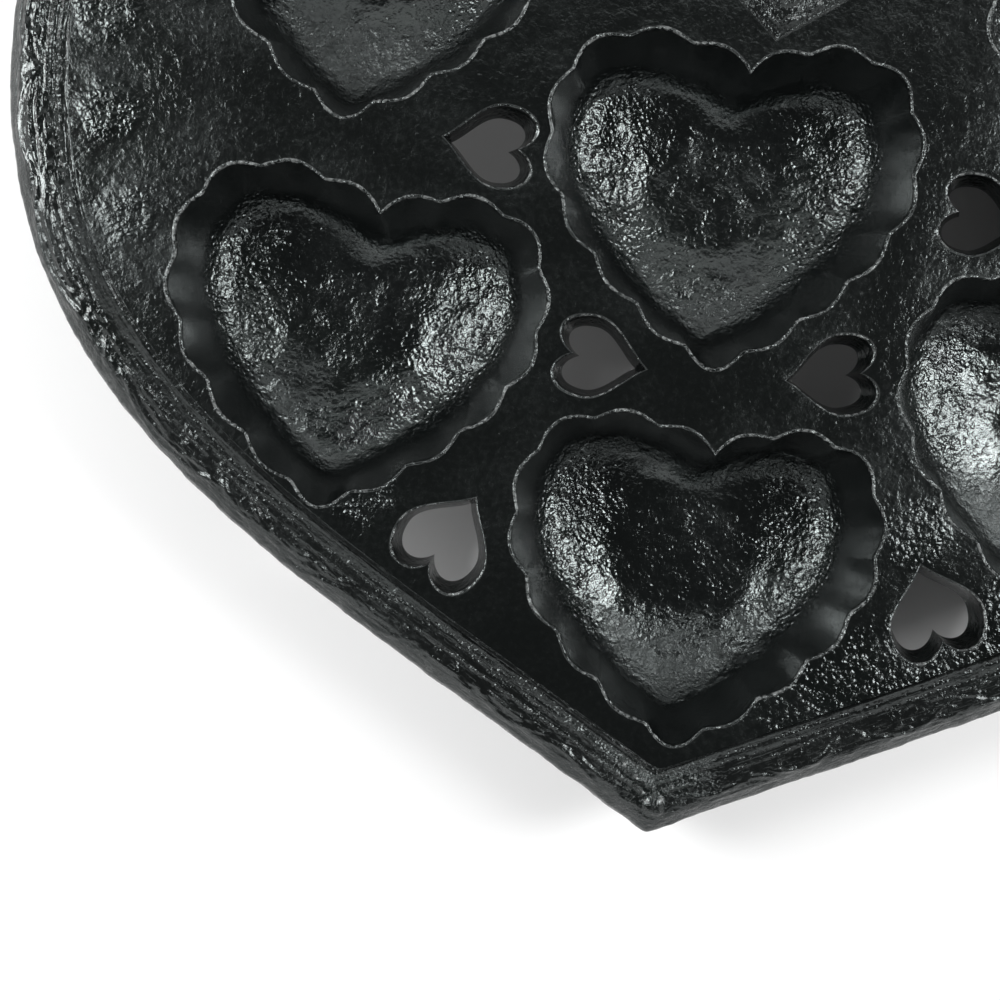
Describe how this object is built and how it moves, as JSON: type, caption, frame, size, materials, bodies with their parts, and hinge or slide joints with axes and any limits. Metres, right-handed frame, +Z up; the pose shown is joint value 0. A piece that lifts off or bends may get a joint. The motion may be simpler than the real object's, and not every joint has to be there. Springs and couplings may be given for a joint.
{
  "type": "heart-shaped baking mould",
  "caption": "Cast-iron heart-shaped pan with fluted heart cups, small heart-shaped holes between them and a raised ridged border.",
  "frame": {"origin": "on the table, under the middle of the pan's bounding box", "axes": "+X across the pan to its right lobe, +Y from the tip of the big heart to its lobes, +Z up out of the cups"},
  "size_m": [0.28, 0.206, 0.0264],
  "materials": {
    "seasoned_iron": "black seasoned cast iron, fine pebbly skin with a soft gloss"
  },
  "bodies": {
    "root": {"mould_casting": "seasoned_iron"}
  },
  "joints": []
}
